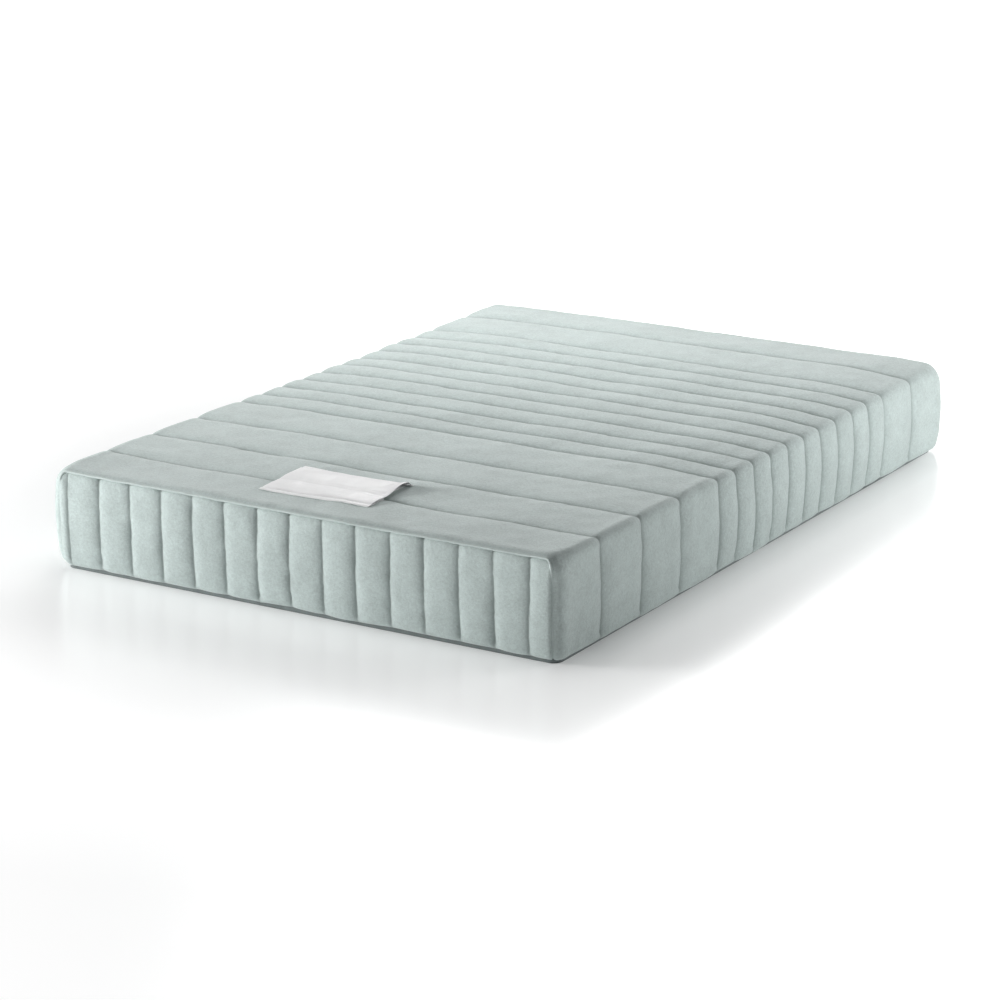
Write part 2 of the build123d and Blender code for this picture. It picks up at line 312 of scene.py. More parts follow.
def top_base(u, v):
    """The top panel's plain surface and outward direction, for arrays u across and v along."""
    point, out, pivot, radius = section(u)
    end = np.where(v < 0, -1.0, 1.0)
    turn = np.clip((np.abs(v) - (L - EDGE)) / EDGE, 0, None) * panel_turn(u) / PANEL_TURN
    y = end * (np.minimum(np.abs(v), L - EDGE) + radius * np.sin(turn))
    back = (np.cos(turn) - 1)[..., None]
    flat = point + pivot * radius[..., None] * back
    across = (out * pivot).sum(-1)
    out_flat = out + pivot * across[..., None] * back
    out_y = end * across * np.sin(turn)
    return (np.stack([flat[..., 0], y, flat[..., 1]], -1),
            np.stack([out_flat[..., 0], out_y, out_flat[..., 1]], -1))


def nearest(places, at):
    """The distance from each point to the nearest of the places, and which place that is."""
    gap = np.abs(at[..., None] - places)
    index = gap.argmin(-1)
    return np.take_along_axis(gap, index[..., None], -1)[..., 0], index


def level(out):
    """The level part of each direction, at full length."""
    flat = out * np.array([1.0, 1.0, 0.0])
    return flat / np.maximum(np.linalg.norm(flat, axis=-1), 1e-6)[..., None]


def barrel(points, out):
    """How the sides stand out: most at half height, and at the corners, mostly sideways. The two
    corners on the left stand out most, and the near one on the right least."""
    x, y, z = (np.abs(points[..., k]) for k in range(3))
    right, foot = points[..., 0] > 0, points[..., 1] < 0
    most = np.where(right, np.where(foot, CORNER_NEAR, CORNER_FAR), CORNER_LEFT)
    corner = most * np.exp(-((W - x + L - y) / CORNER_REACH) ** 2)
    corner = corner * (1 - np.exp(-(z / CORNER_LOW) ** 2)) * (1 - np.exp(-((H - z) / CORNER_HIGH) ** 2))
    belly = BELLY_FOOT + BELLY_MORE * smooth(points[..., 1], -L, 0)
    belly = belly * np.sin(math.pi * np.clip(z / H, 0, 1))
    belly = belly - TUCK * np.exp(-((z - TUCK_Z) / TUCK_REACH) ** 2)
    return level(out) * (belly[..., None] + corner[..., None] * CORNER_WAY)


def yielding(points, end=1):
    """How far the mattress gives way at each point: most along its long top edges, and next at the
    head. end is -1 for points of the head border, which is made at the foot and then turned round."""
    x, y, z = np.abs(points[..., 0]), points[..., 1] * end, points[..., 2]
    headward = smooth(y, -L, 0.4 * L)
    by_side = np.exp(-(np.clip(W - x, 0, None) / GIVE_REACH) ** GIVE_POWER)
    by_end = np.exp(-(np.clip(L - np.abs(y), 0, None) / GIVE_REACH) ** GIVE_POWER)
    sides = (SIDE_GIVE * headward - FOOT_RISE) * by_side
    head = HEAD_GIVE * headward * by_end
    return np.maximum(sides, sides + head * (1 - sides / GIVE_SHARED)) * smooth(z, 0.08, H - 0.02)


def settled(points, end=1):
    """Points of the cover, let down as the foam gives way, and as its lower edge hangs. The edge
    does not hang across the head, between the corners, where the sliders run."""
    y, z = points[..., 1] * end, points[..., 2]
    edge = HANG + (LONG_HANG - HANG) * smooth(y, -L + 0.03, -L + 0.30)
    open_end = smooth(y, L - 0.02, L - 0.09)
    corner = smooth(np.abs(points[..., 0]), W - 0.035, W - 0.015)
    edge = edge * np.maximum(open_end, corner)
    edge = edge * np.exp(-(np.clip(z - HANG_Z, 0, None) / HANG_REACH) ** 2)
    return points - (yielding(points, end) + edge)[..., None] * np.array([0, 0, 1.0])


def ridge(gap, z):
    """How far the end seam stands up along the top, at a distance from it."""
    return RIDGE * np.exp(-(gap / RIDGE_REACH) ** 2) * smooth(z, H - 0.060, H - 0.012)


def groove(gap, reach, depth, power=3.0):
    """Height of the cloth at a distance from a line, below the crown between lines."""
    return -depth * np.clip(1 - gap / reach, 0, 1) ** power


def top_surface(u, v):
    """The quilted top panel: its plain surface, outward direction, quilted height and painted seam shade.
    The first line wanders more than the others."""
    u, v = np.broadcast_arrays(np.asarray(u, float), np.asarray(v, float))
    gap, index = nearest(SEAMS, v)
    line = np.stack([u, SEAMS[index] * 7.0], -1)
    drift = waves(line, 0.30, 3) * np.where(index == 0, 0.0038, 0.0006) + waves(line, 0.09, 4) * 0.0002
    moved = v + drift * np.exp(-gap / 0.05)
    base, out = top_base(u, moved)
    side = smooth(np.abs(u), W - EDGE, W + 0.03)
    under = np.clip((np.abs(u) - HALF_SECTION) / (LIP * LIP_TURN) + 1, 0, 1)

    depth = SEAM_DEPTHS[index] * (1 + 0.10 * waves(line, 0.20, 5)) * (1 - side)
    depth = depth + np.where(u < 0, SIDE_DEPTH_LEFT, SIDE_DEPTH_RIGHT) * side
    inner = (v > SEAMS[FIRST]) & (v < SEAMS[LAST])
    height = groove(gap, np.where(inner, NARROW / 2, WIDE_REACH), depth)
    height = height + groove(gap, CREASE_REACH, CREASE_DEPTH, CREASE_POWER)
    height = height * (1 - under) ** 1.5 + LIP_LOFT * under * np.clip(gap / LIP_REACH, 0, 1)

    # The seams at both ends, and the full long edges between them.
    end_gap = PANEL_END - np.abs(v)
    height += groove(end_gap, 0.009, 0.0012 + 0.0028 * side, 2.0) + ridge(end_gap, base[..., 2])
    long_edge = np.abs(u) - (W - EDGE + EDGE * math.pi / 4)
    square = SQUARE - SQUARE_LESS * smooth(v, -0.6 * L, 0.6 * L)
    height += square * np.exp(-(long_edge / SQUARE_REACH) ** 2) * smooth(end_gap, 0.0, 0.07)

    # Puckers beside each line, slow unevenness, and dents near the foot.
    pucker = waves(np.stack([u, v * 0.30 + index * 3.0], -1), 0.030, 6)
    fine = waves(np.stack([u, v * 0.35 + index * 5.0], -1), 0.017, 7)
    beside = np.exp(-gap / 0.020) * (1 - 0.5 * np.exp(-gap / 0.016))
    height += (0.00052 * pucker + 0.0003 * fine) * beside
    height += 0.0014 * waves(base, 0.24, 8) + 0.0005 * waves(base, 0.075, 9)
    dents = np.exp(-((base[..., 1] + L - 0.075) / 0.055) ** 2)
    dents = dents * np.exp(-((base[..., 0] - 0.12) / 0.42) ** 2)
    height += 0.0020 * waves(base, 0.11, 10) * dents * (1 - side)
    plain_surface = settled(base + barrel(base, out) * side[..., None])
    # The last value is the share of painted shade beside the nearest seam.
    return plain_surface, out, height, np.exp(-gap / SEAM_SHADE_REACH)


def quilted(surface):
    """The points of a quilted surface."""
    return surface[0] + surface[1] * surface[2][..., None]


def border_base(a, f, under):
    """The foot border's plain surface. f is the share of the way up from the lip, and under the
    turn of the lip itself, where f is 0."""
    side = np.where(a < 0, -1.0, 1.0)
    turn, over = seam_turns(np.clip((np.abs(a) - (W - EDGE)) / EDGE, 0, BORDER_TURN))
    rise = f * (SIDE + EDGE * over)
    over = np.clip((rise - SIDE) / EDGE, 0, None)
    z = np.where(under > 0, LIP_Z + LIP - LIP * np.sin(under),
                 LIP_Z + LIP + np.minimum(rise, SIDE) + EDGE * np.sin(over))
    radius = np.where(under > 0, EDGE - LIP * (1 - np.cos(under)), EDGE * np.cos(over))
    out_level = np.where(under > 0, np.cos(under), np.cos(over))
    out_z = np.where(under > 0, -np.sin(under), np.sin(over))
    middle = np.clip(a, -(W - EDGE), W - EDGE)
    point = np.stack([middle + side * radius * np.sin(turn), -L + EDGE - radius * np.cos(turn), z], -1)
    out = np.stack([side * out_level * np.sin(turn), -out_level * np.cos(turn), out_z], -1)
    return point, out


def border_surface(a, f, under, end=1):
    """The quilted foot border, as top_surface gives the top panel. end is -1 for the head's. The
    lines fade towards the left corner."""
    seed = 0 if end > 0 else HEAD_SEED
    a, f, under = np.broadcast_arrays(*(np.asarray(value, float) for value in (a, f, under)))
    gap, index = nearest(BORDER_SEAMS, a)
    line = np.stack([f * SIDE * 1.2, BORDER_SEAMS[index] * 7.0], -1)
    drift = (0.0010 * waves(line, 0.20, 21 + seed)) * np.exp(-gap / 0.03)
    base, out = border_base(a + drift, f, under)
    share = under / LIP_TURN
    depth = BORDER_DEPTH * (1 + 0.22 * waves(line, 0.13, 22 + seed)) * (1 - 0.25 * smooth(f, 0.86, 1.0))
    outermost = smooth(-a, W - 0.085, W - 0.045)
    depth = depth * (1 - 0.75 * outermost)
    height = groove(gap, BORDER_REACH, depth) + groove(gap, CREASE_REACH, CREASE_DEPTH, CREASE_POWER)
    height = height * (1 - share) ** 1.5
    height += LIP_LOFT * share * np.clip(gap / LIP_REACH, 0, 1)

    # The seam above, and the seams at both sides, which are shallower at the top.
    edge_gap = (1 - f) * (SIDE + EDGE * BORDER_TURN)
    side_gap = BORDER_END - np.abs(a)
    height += groove(edge_gap, 0.008, 0.0022, 2.0) * (under <= 0)
    side_groove = groove(side_gap, 0.010, 0.0040 - 0.0026 * outermost, 2.0)
    height += side_groove * (1 - 0.6 * smooth(f, 0.80, 1.0))
    height += ridge(np.minimum(edge_gap, side_gap), base[..., 2])

    # Puckers beside each line, and slow unevenness.
    pucker = waves(np.stack([a * 0.30 + index * 3.0, base[..., 2]], -1), 0.028, 23 + seed)
    fine = waves(np.stack([a * 0.35 + index * 5.0, base[..., 2]], -1), 0.016, 24 + seed)
    height += (0.0007 * pucker + 0.0004 * fine) * np.exp(-gap / 0.016)
    height += 0.0013 * waves(base, 0.19, 25 + seed) + 0.0005 * waves(base, 0.06, 26 + seed)
    bulge = barrel(base, out) * (1 - smooth(base[..., 2], H - 0.05, H + 0.01))[..., None]
    # The last value is the share of painted shade beside the nearest seam.
    return settled(base + bulge, end), out, height, np.exp(-gap / SEAM_SHADE_REACH)


def to_head(points):
    """Points made at the foot, moved to the head."""
    return points * np.array([1.0, -1.0, 1.0])


# ------------------------------------------------------------ materials
def material(name):
    """A new node material: its tree, its shader, and a texture coordinate in metres."""
    made = bpy.data.materials.new(name)
    made.use_nodes = True
    nodes = made.node_tree.nodes
    place = nodes.new("ShaderNodeTexCoord").outputs["Object"]
    return made, made.node_tree, nodes["Principled BSDF"], place


def noise(tree, place, scale, detail=2.0, rough=0.5):
    """Uneven values of about 0.5, scale of them to a metre."""
    node = tree.nodes.new("ShaderNodeTexNoise")
    node.inputs["Scale"].default_value = scale
    node.inputs["Detail"].default_value = detail
    node.inputs["Roughness"].default_value = rough
    tree.links.new(place, node.inputs["Vector"])
    return node.outputs["Fac"]


def stretch(tree, place, scale):
    """A texture coordinate scaled along each axis."""
    node = tree.nodes.new("ShaderNodeMapping")
    node.inputs["Scale"].default_value = scale
    tree.links.new(place, node.inputs["Vector"])
    return node.outputs["Vector"]


def ramp(tree, value, low, high, to_low=0.0, to_high=1.0):
    """A value carried from the range low to high onto another, and held at its two ends."""
    node = tree.nodes.new("ShaderNodeMapRange")
    for key, number in (("From Min", low), ("From Max", high), ("To Min", to_low), ("To Max", to_high)):
        node.inputs[key].default_value = number
    tree.links.new(value, node.inputs["Value"])
    return node.outputs["Result"]


def sums(tree, first, second, operation="ADD"):
    """Two values added, or joined by another operation. Each is a number or a socket."""
    node = tree.nodes.new("ShaderNodeMath")
    node.operation = operation
    for socket, value in zip(node.inputs, (first, second)):
        if isinstance(value, (int, float)):
            socket.default_value = value
        else:
            tree.links.new(value, socket)
    return node.outputs["Value"]


def blend(tree, share, first, second):
    """A mix of two colours, each a triple or a socket."""
    node = tree.nodes.new("ShaderNodeMix")
    node.data_type = "RGBA"
    colour_inputs = [s for s in node.inputs if s.type == "RGBA"]
    tree.links.new(share, [s for s in node.inputs if s.type == "VALUE"][0])
    for socket, value in zip(colour_inputs, (first, second)):
        if isinstance(value, tuple):
            socket.default_value = (*value, 1)
        else:
            tree.links.new(value, socket)
    return [s for s in node.outputs if s.type == "RGBA"][0]


def bump(tree, shader, height, distance, strength=1.0):
    """Fine relief, whose height of 1 stands distance out of the surface."""
    node = tree.nodes.new("ShaderNodeBump")
    node.inputs["Distance"].default_value = distance
    node.inputs["Strength"].default_value = strength
    tree.links.new(height, node.inputs["Height"])
    tree.links.new(node.outputs["Normal"], shader.inputs["Normal"])


SEAM_SHADE_TONE = 0.58                             # painted shade: how dark the velour is painted in a seam


def velour(name, colour):
    """Short-pile velour: nap grain, patches where the pile lies another way, and painted shade in its
    seams.
    """
    made, tree, shader, place = material(name)
    nap = noise(tree, place, 420, 3.0, 0.62)
    tuft = noise(tree, place, 150, 2.0, 0.55)
    patch = noise(tree, place, 26, 3.0, 0.6)
    broad = noise(tree, place, 5, 2.0)
    naps = ramp(tree, nap, 0.3, 0.7, -0.22, 0.22)
    grain = sums(tree, naps, ramp(tree, tuft, 0.3, 0.7, -0.17, 0.17))
    patches = ramp(tree, patch, 0.3, 0.7, -0.12, 0.12)
    mottle = sums(tree, patches, ramp(tree, broad, 0.3, 0.7, -0.08, 0.08))
    share = sums(tree, sums(tree, grain, mottle), 0.5)
    light = tuple(min(1.0, c * 1.22) for c in colour)
    dark = tuple(c * 0.78 for c in colour)
    cloth = blend(tree, share, dark, light)
    seam_shade = tree.nodes.new("ShaderNodeAttribute")
    seam_shade.attribute_name = "seam"
    seam_shade_colour = tuple(c * SEAM_SHADE_TONE for c in colour)
    # Painted shade: the velour is darkened along its quilting seams.
    tree.links.new(blend(tree, sums(tree, seam_shade.outputs["Fac"], 0.75, "MULTIPLY"), cloth, seam_shade_colour),
                   shader.inputs["Base Color"])
    shader.inputs["Roughness"].default_value = 0.92
    shader.inputs["Specular IOR Level"].default_value = 0.15
    shader.inputs["Sheen Weight"].default_value = 0.55
    shader.inputs["Sheen Roughness"].default_value = 0.45
    shader.inputs["Sheen Tint"].default_value = (0.93, 0.97, 0.96, 1)
    bump(tree, shader, sums(tree, nap, sums(tree, tuft, 1.2, "MULTIPLY")), 0.0011, 0.75)
    return made


def woven(name, colour, thread=0.0008, rough=0.8, spread=0.12, sheen=0.2, depth=0.0002):
    """Plain woven or knitted cloth, with its threads crossing."""
    made, tree, shader, place = material(name)
    heights = []
    for scale in ((1, 0.06, 0.06), (0.06, 1, 0.06), (0.06, 0.06, 1)):
        heights.append(noise(tree, stretch(tree, place, scale), 1 / thread, 1.0))
    height = sums(tree, sums(tree, heights[0], heights[1]), heights[2])
    patch = noise(tree, place, 18, 2.0)
    share = sums(tree, ramp(tree, height, 1.2, 1.8, 0.2, 0.8), ramp(tree, patch, 0.3, 0.7, -0.2, 0.2))
    light = tuple(min(1.0, c * (1 + spread)) for c in colour)
    dark = tuple(c * (1 - spread) for c in colour)
    tree.links.new(blend(tree, share, dark, light), shader.inputs["Base Color"])
    shader.inputs["Roughness"].default_value = rough
    shader.inputs["Sheen Weight"].default_value = sheen
    bump(tree, shader, height, depth)
    return made


def foam(name, colour, cell=0.0012):
    """Open-cell foam: pits of a cell's size, and a slightly uneven tint."""
    made, tree, shader, place = material(name)
    cells = tree.nodes.new("ShaderNodeTexVoronoi")
    cells.inputs["Scale"].default_value = 1 / cell
    tree.links.new(place, cells.inputs["Vector"])
    patch = noise(tree, place, 9, 3.0)
    share = sums(tree, ramp(tree, cells.outputs["Distance"], 0.0, 0.6, 0.1, 0.7),
                 ramp(tree, patch, 0.3, 0.7, -0.1, 0.3))
    dark = tuple(c * 0.82 for c in colour)
    tree.links.new(blend(tree, share, dark, colour), shader.inputs["Base Color"])
    shader.inputs["Roughness"].default_value = 0.95
    bump(tree, shader, cells.outputs["Distance"], 0.0006)
    return made


def plain(name, colour, metallic=0.0, rough=0.4, grain=900):
    """Moulded plastic or plated metal, with faint unevenness in its colour and gloss."""
    made, tree, shader, place = material(name)
    fine = noise(tree, place, grain, 2.0)
    share = ramp(tree, noise(tree, place, grain / 8, 3.0), 0.3, 0.7)
    dark = tuple(c * 0.86 for c in colour)
    tree.links.new(blend(tree, share, dark, colour), shader.inputs["Base Color"])
    tree.links.new(ramp(tree, fine, 0.3, 0.7, rough * 0.8, rough * 1.25), shader.inputs["Roughness"])
    shader.inputs["Metallic"].default_value = metallic
    bump(tree, shader, fine, 0.00004)
    return made


VELOUR = velour("sage_velour", (0.50, 0.575, 0.56))
PIPING = woven("piping_tape", (0.51, 0.582, 0.567), 0.0009, 0.85, 0.10, 0.4)
CORD = woven("filler_cord", (0.84, 0.82, 0.77), 0.0008)
WADDING = woven("polyester_wadding", (0.88, 0.88, 0.87), 0.0030, 0.95, 0.06, 0.3, 0.0008)
BACKING = woven("quilt_backing", (0.82, 0.83, 0.83), 0.0012, 0.85, 0.06)
THREAD = woven("quilting_thread", (0.40, 0.46, 0.45), 0.0004, 0.6, 0.10)
# The base fabric's dark colour is partly its own and partly painted shade, as dark as the shaded gap
# under the cover's lower edge.
BASE = woven("base_fabric", (0.17, 0.20, 0.198), 0.0013, 0.85, 0.16)
LINER = woven("liner_knit", (0.88, 0.88, 0.87), 0.0007, 0.85, 0.05)
TAPE = woven("zip_tape", (0.22, 0.255, 0.25), 0.0006, 0.7, 0.14)
COIL = plain("zip_nylon", (0.20, 0.23, 0.228), 0.0, 0.35)
METAL = plain("zip_metal", (0.62, 0.63, 0.64), 1.0, 0.28, 1500)
LABEL = woven("label_satin", (0.975, 0.98, 0.985), 0.0005, 0.38, 0.03, 0.15, 0.00008)
LABEL_THREAD = woven("label_thread", (0.80, 0.80, 0.81), 0.0003, 0.5, 0.05)
SUPPORT = foam("support_foam", (0.80, 0.79, 0.72))
TRANSITION = foam("transition_foam", (0.55, 0.70, 0.76))
MEMORY = foam("memory_foam", (0.90, 0.87, 0.78), 0.0008)


def place_piece(piece, node, look):
    """Gives a piece its look, and puts it in the place of its CAD node."""
    piece.data.materials.clear()
    piece.data.materials.append(look)
    body = next(b for b, names in frame["record"]["behaviour"]["bodies"].items() if node in names)
    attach(piece, body)
    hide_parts(node)
    return piece


# ------------------------------------------------------------ the quilted cover
def layers(name, surface, heads, trim):
    """The face, wadding and backing of one panel, from its quilted surface. trim is the part of its
    grid that the last two reach over: they stop short of the cover's lower edge."""
    plain_surface, out, height, seam_shade = surface

    def at(depth):
        """The panel's grid, moved out by depth from its plain surface."""
        points = plain_surface + out * depth[..., None]
        return to_head(points) if heads else points

    def coarse(depth):
        """The same, trimmed, with every second row and column."""
        return at(depth)[trim][::2, ::2]

    back = np.full_like(height, -BACKING_OUT)
    inmost = np.full_like(height, -BACKING_IN)
    under = np.maximum(height - FACE_THICK - GAP, back + WADDING_LEAST)
    # The face carries the painted seam shade on its points.
    face = shell(f"{name}_quilt_face", at(height), at(height - FACE_THICK), seam_shade)
    fill = shell(f"{name}_quilt_wadding", coarse(under), coarse(back + GAP))
    lining = shell(f"{name}_quilt_backing", coarse(back), coarse(inmost))
    place_piece(face, f"{name}_face", VELOUR)
    place_piece(fill, f"{name}_wadding", WADDING)
    place_piece(lining, f"{name}_backing", BACKING)


def even(values):
    """values with one more place at the middle of the first step, if that makes each half even."""
    while len(values) % 4 != 1:
        values = np.insert(values, 1, (values[0] + values[1]) / 2)
    return values


# The grid of the top panel: distances across it, from one lower edge over to the other, and along.
LIP_STEPS = 4                                # rows of the grid that are left without backing
across_knots = [0, W - EDGE, W - EDGE + EDGE * QUARTER, W - EDGE + EDGE * QUARTER + SIDE, HALF_SECTION]
across_steps = (92, 8, 24, 6)
half = np.concatenate([np.linspace(a, b, n, endpoint=False)
                       for a, b, n in zip(across_knots[:-1], across_knots[1:], across_steps)])
half = np.append(half, HALF_SECTION)
ACROSS = np.concatenate([-half[:0:-1], half])
ALONG = even(between(np.concatenate([[-PANEL_END], SEAMS, [PANEL_END]]), 0.0078))
layers("top_panel", top_surface(ACROSS[:, None], ALONG[None, :]), False,
       (slice(LIP_STEPS, -LIP_STEPS), slice(None)))

# The grid of an end border: distances across it, and the way up it from its lip.
border_knots = np.concatenate([[-BORDER_END, -(W - EDGE)], BORDER_SEAMS, [BORDER_END]])
border_across = even(between(border_knots, 0.0060, 4))
lip_turns = np.linspace(LIP_TURN, 0, LIP_STEPS + 1)[:-1]
rises = np.concatenate([np.zeros(LIP_STEPS), np.linspace(0, 0.82, 31)[:-1], np.linspace(0.82, 1, 11)])
unders = np.concatenate([lip_turns, np.zeros(len(rises) - LIP_STEPS)])
for heads, end in ENDS:
    surface = border_surface(border_across[:, None], rises[None, :], unders[None, :], -1 if heads else 1)
    layers(f"{end}_border", surface, heads, (slice(None), slice(LIP_STEPS, None)))

PIPING_RISE, PIPING_BEND, PIPING_TOP = 60, 14, 261   # points up a corner, round its top, and across
PIPING_OUT, PIPING_BORE, CORD_RADIUS = 0.0031, 0.0019, 0.0017


def piping_path(seed, end):
    """Along the seam round the foot border, from the lip up one side, across and down the other. It
    lies deeper in the seam on the way up and down than across the top."""
    rise = np.concatenate([np.zeros(LIP_STEPS), np.linspace(0, 1, PIPING_RISE)])
    under = np.concatenate([lip_turns * 0.75, np.zeros(PIPING_RISE)])
    edge = np.full(len(rise), BORDER_END)
    up, up_out = border_base(-edge, rise, under)
    bend = 1 - np.cos(np.linspace(0, QUARTER, PIPING_BEND)[1:])
    bend = -BORDER_END + (BORDER_END - W + EDGE) * bend
    straight = np.linspace(-(W - EDGE), W - EDGE, PIPING_TOP)[1:-1]
    top = np.concatenate([bend, straight, -bend[::-1]])
    over, over_out = border_base(top, np.ones_like(top), np.zeros_like(top))
    down, down_out = border_base(edge[::-1], rise[::-1], under[::-1])
    path = np.concatenate([up, over, down])
    out = np.concatenate([up_out, over_out, down_out])
    low = smooth(path[:, 2], H - 0.035, H - 0.075)
    drop = -0.0008 + 0.0005 * waves(path, 0.12, seed) - 0.0056 * low + ridge(0.0, path[:, 2])
    path = path + out * drop[:, None] + barrel(path, out) * low[:, None]
    path = settled(path, end)
    path[:, 2] += 0.0006 * waves(path, 0.09, seed + 1)
    for _ in range(3):
        path[1:-1] = (path[:-2] + 2 * path[1:-1] + path[2:]) / 4
    return path


for heads, end in ENDS:
    path = piping_path(60 + 2 * heads, -1 if heads else 1)
    path = to_head(path) if heads else path
    tape = tube(f"{end}_piping_tape", path, PIPING_OUT, 14, PIPING_BORE)
    filler = tube(f"{end}_piping_filler", path, CORD_RADIUS, 8)
    place_piece(tape, f"{end}_piping_cover", PIPING)
    place_piece(filler, f"{end}_piping_cord", CORD)

# ------------------------------------------------------------ quilting stitches
THREAD_LIFT = 0.0002                         # how far the thread's middle lies off the cloth
sewn_across = ACROSS[5:-5]
lines = []
for seam in SEAMS:
    surface = top_surface(sewn_across, np.full_like(sewn_across, seam))
    lines.append((quilted(surface) + surface[1] * THREAD_LIFT, surface[1]))
place_piece(stitches("top_quilting_stitches", lines), "top_panel_thread", THREAD)
sewn_up = np.linspace(0, 0.99, 41)
for heads, end in ENDS:
    lines = []
    for seam in BORDER_SEAMS:
        surface = border_surface(np.full_like(sewn_up, seam), sewn_up, 0, -1 if heads else 1)
        out = surface[1]
        point = quilted(surface) + out * THREAD_LIFT
        lines.append((to_head(point), to_head(out)) if heads else (point, out))
    sewn = stitches(f"{end}_border_quilting_stitches", lines)
    place_piece(sewn, f"{end}_border_thread", THREAD)


# ------------------------------------------------------------ pieces whose CAD shape is right
CUTS = (0.03, 0.045, 0.06, 0.08, 0.10, 0.125, 0.16, 0.21, 0.30)    # distances in from each side


def cut_into_strips(work):
    """Cuts a mesh near its four sides, so that its top can bend."""
    for way, reach in ((Vector((1, 0, 0)), W), (Vector((0, 1, 0)), L)):
        for inset in CUTS:
            for side in (-1, 1):
                everything = work.verts[:] + work.edges[:] + work.faces[:]
                spot = way * side * (reach - inset)
                bmesh.ops.bisect_plane(work, geom=everything, plane_co=spot, plane_no=way)


def softened(node, name, look, bevel, segments=2, gives=False):
    """A copy of a CAD node's mesh with its edges rounded off. If it gives, it is let down with the
    cover."""
    mesh = frame["nodes"][node].data.copy()
    mesh.name = name
    work = bmesh.new()
    work.from_mesh(mesh)
    bmesh.ops.remove_doubles(work, verts=work.verts, dist=1e-6)
    bmesh.ops.dissolve_limit(work, angle_limit=math.radians(1), verts=work.verts, edges=work.edges)
    sharp = [e for e in work.edges if len(e.link_faces) == 2 and e.calc_face_angle() > math.radians(35)]
    bmesh.ops.bevel(work, geom=sharp, offset=bevel, segments=segments, affect="EDGES", clamp_overlap=True)
    if gives:
        cut_into_strips(work)
        for vert in work.verts:
            vert.co.z -= float(yielding(np.array(vert.co)))
    work.to_mesh(mesh)
    work.free()
    mesh.shade_smooth()
    piece = bpy.data.objects.new(name, mesh)
    bpy.context.scene.collection.objects.link(piece)
    return place_piece(piece, node, look)


for node, look, slot in (("support_foam_core", SUPPORT, "support_foam"),
                         ("transition_foam_layer", TRANSITION, "transition_foam"),
                         ("memory_foam_layer", MEMORY, "memory_foam")):
    softened(node, f"{node}_block", look, 0.0012, gives=True)
for node in ("liner_sleeve", "liner_foot_cap", "liner_head_cap"):
    softened(node, f"{node}_knit", LINER, 0.0001, 1, gives=True)
softened("base_panel", "base_panel_cloth", BASE, 0.0006)
softened("base_band", "base_band_cloth", BASE, 0.0001, 1)
for node, look, slot, bevel in (("zip_tape_upper", TAPE, "zip_tape", 0.0001),
                                ("zip_tape_lower", TAPE, "zip_tape", 0.0001),
                                ("zip_teeth_upper", COIL, "zip_coil", 0.0003),
                                ("zip_teeth_lower", COIL, "zip_coil", 0.0003),
                                ("zip_end_stops", METAL, "zip_metal", 0.0003),
                                ("zip_slider_left", METAL, "zip_metal", 0.0002),
                                ("zip_slider_right", METAL, "zip_metal", 0.0002),
                                ("zip_pull_left", METAL, "zip_metal", 0.0002),
                                ("zip_pull_right", METAL, "zip_metal", 0.0002)):
    softened(node, f"{node}_part", look, bevel)

# ------------------------------------------------------------ label
LABEL_AT, LABEL_SIZE, LABEL_TURN = (-0.022, -0.755), (0.290, 0.190), math.radians(1.5)
SATIN = 0.0004
HEM = 0.075                                  # share of the label's length that each hem takes
FOLD = 0.018                                 # share of it that turns over at the hem's edge
PUFF, MOUTH, SHORTER = 0.0070, 0.0105, 0.050
ROWS, COLUMNS = 121, 81
SEWN = (6, 74)                               # columns of the grid that the two hems are sewn along
NEARBY = ((0, 0), (0.012, 0), (-0.012, 0), (0, 0.012), (0, -0.012), (0, 0.024), (0, -0.024))


def label_point(s, t, lift):
    """A point of the label, from shares across and along it, lift above the quilt."""
    x = (s - 0.5) * LABEL_SIZE[0]
    y = (t - 0.5) * LABEL_SIZE[1]
    c, n = math.cos(LABEL_TURN), math.sin(LABEL_TURN)
    px, py = LABEL_AT[0] + x * c - y * n, LABEL_AT[1] + x * n + y * c
    ground = 0
    for dx, dy in NEARBY:
        ground = ground + quilted(top_surface(px + dx, py + dy))[..., 2] / len(NEARBY)
    over = np.maximum(ground, quilted(top_surface(px, py))[..., 2])
    return np.stack([px, py, over + lift], -1)


# Heights of its lower and upper layers. The upper one is puffed up between the hems, creased, and
# raised at its open right end, where the lower one stops a little short of it.
s, t = np.meshgrid(np.linspace(0, 1, ROWS), np.linspace(0, 1, COLUMNS), indexing="ij")
belly = np.clip(np.minimum(t - HEM, 1 - HEM - t) / (0.5 - HEM), 0, 1)
puff = PUFF * belly ** 0.5 * (0.55 + 0.45 * smooth(s, 0.0, 0.15)) * (1 - 0.25 * smooth(s, 0.2, 0.95))
flat_xy = np.stack([s * LABEL_SIZE[0], t * LABEL_SIZE[1] * 0.5], -1)
creases = 0.0005 * waves(flat_xy * np.array([0.35, 1.0]), 0.030, 31) + 0.0002 * waves(flat_xy, 0.03, 32)
mouth = MOUTH * smooth(s, 0.84, 1.0) * smooth(t, 0.48, 0.78) * smooth(t, 1.0, 0.86)
hem_line = np.exp(-((np.minimum(t, 1 - t) - HEM) / 0.016) ** 2)
low = 0.0009 + 0.0002 * waves(flat_xy, 0.06, 33)
high = low + 0.0013 + puff + (creases * belly ** 0.3) + mouth - 0.0005 * hem_line
roll = np.clip(1 - np.minimum(t, 1 - t) / FOLD, 0, 1)
high = high + (0.0006 * (1 - roll ** 2) - 0.0004 * roll)
short = s * (1 - SHORTER * smooth(s, 0.5, 1.0) * smooth(t, 0.30, 0.50) * smooth(t, 0.985, 0.93))
bottom_low, bottom_high = label_point(short, t, low), label_point(short, t, low + SATIN)
front_low = label_point(s, t, np.maximum(high, low + SATIN + 0.0003))
front_high = front_low + np.array([0, 0, SATIN])
